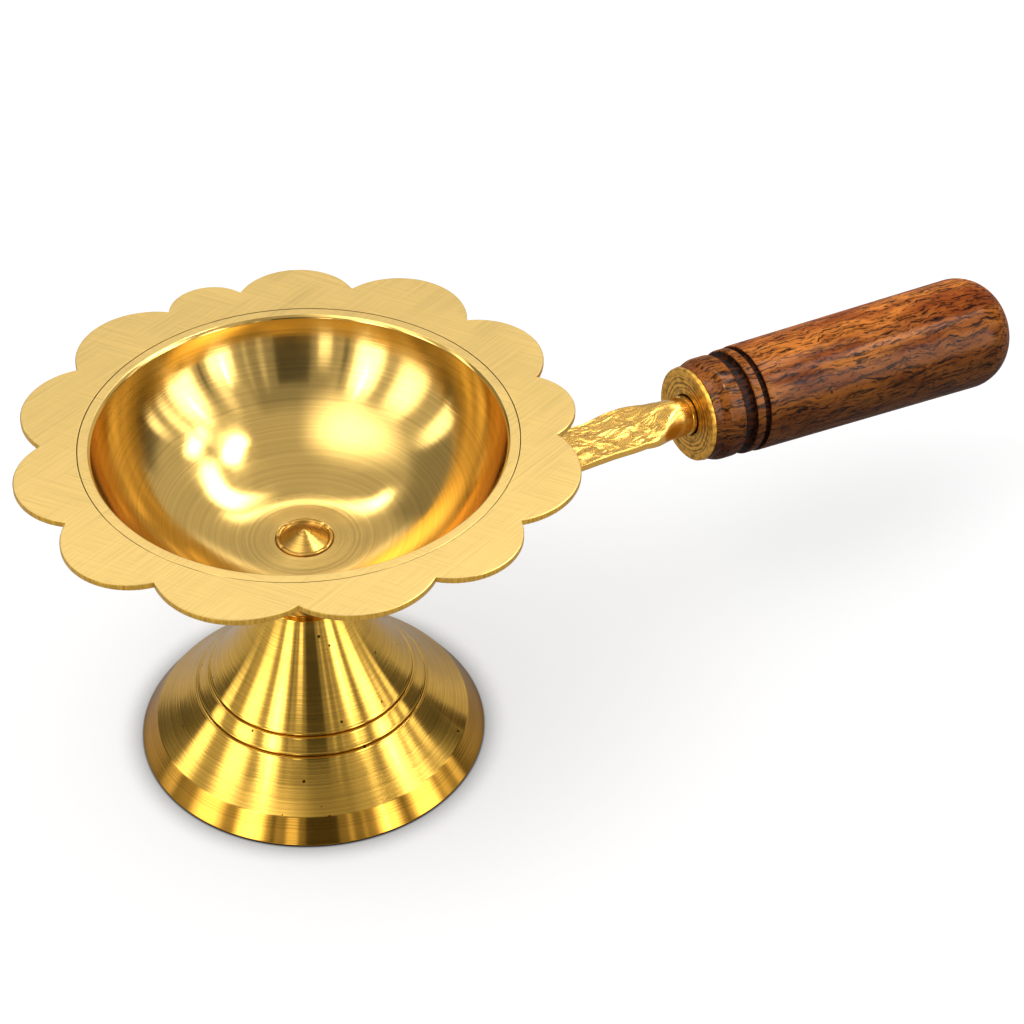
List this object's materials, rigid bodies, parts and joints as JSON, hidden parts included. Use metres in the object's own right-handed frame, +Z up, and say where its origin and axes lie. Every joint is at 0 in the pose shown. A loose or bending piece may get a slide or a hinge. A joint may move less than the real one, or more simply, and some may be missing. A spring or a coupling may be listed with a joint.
{
  "type": "aarti lamp",
  "caption": "Brass aarti lamp: scalloped-rim bowl on a flared pedestal, with a flat side arm ending in a turned wooden grip that unscrews from its tang.",
  "frame": {"origin": "centre of the foot's ground face, on the axis of the bowl and the pedestal", "axes": "+Z up along the axis of the bowl, +X along the arm towards the grip, +Y to the left of someone looking along the arm from the bowl"},
  "size_m": [0.225, 0.107, 0.0757],
  "materials": {
    "turned_brass": "turned, fine lathe lines, polished",
    "polished_brass": "polished, fine turning lines",
    "satin_brass": "satin, crossed brush marks",
    "hardware_brass": "turned",
    "hammered_brass": "hammered, left rough",
    "dull_brass": "dull, scratched in rings",
    "rosewood": "clear gloss lacquer"
  },
  "bodies": {
    "lamp": {"pedestal": "turned_brass", "bowl": "polished_brass", "scalloped_rim": "satin_brass", "clamp_screw": "hardware_brass", "clamp_washer": "hardware_brass", "clamp_nut": "hardware_brass", "handle_arm": "hammered_brass"},
    "ferrule": {"ferrule": "dull_brass"},
    "grip": {"grip": "rosewood", "thread_insert": "hardware_brass"}
  },
  "joints": [
    {"name": "ferrule_travel", "type": "slide", "parent": "lamp", "child": "ferrule", "axis": [0.9976, 0, -0.0698], "range_m": [0, 0.02]},
    {"name": "grip_turn", "type": "hinge", "parent": "ferrule", "child": "grip", "pos_m": [0.08977, 0, 0.04674], "axis": [0.9976, 0, -0.0698], "range_deg": [0, 7200]}
  ],
  "couplings": [
    {"joint": "ferrule_travel", "follows": "grip_turn", "m_per_rad": 0.00015915}
  ]
}
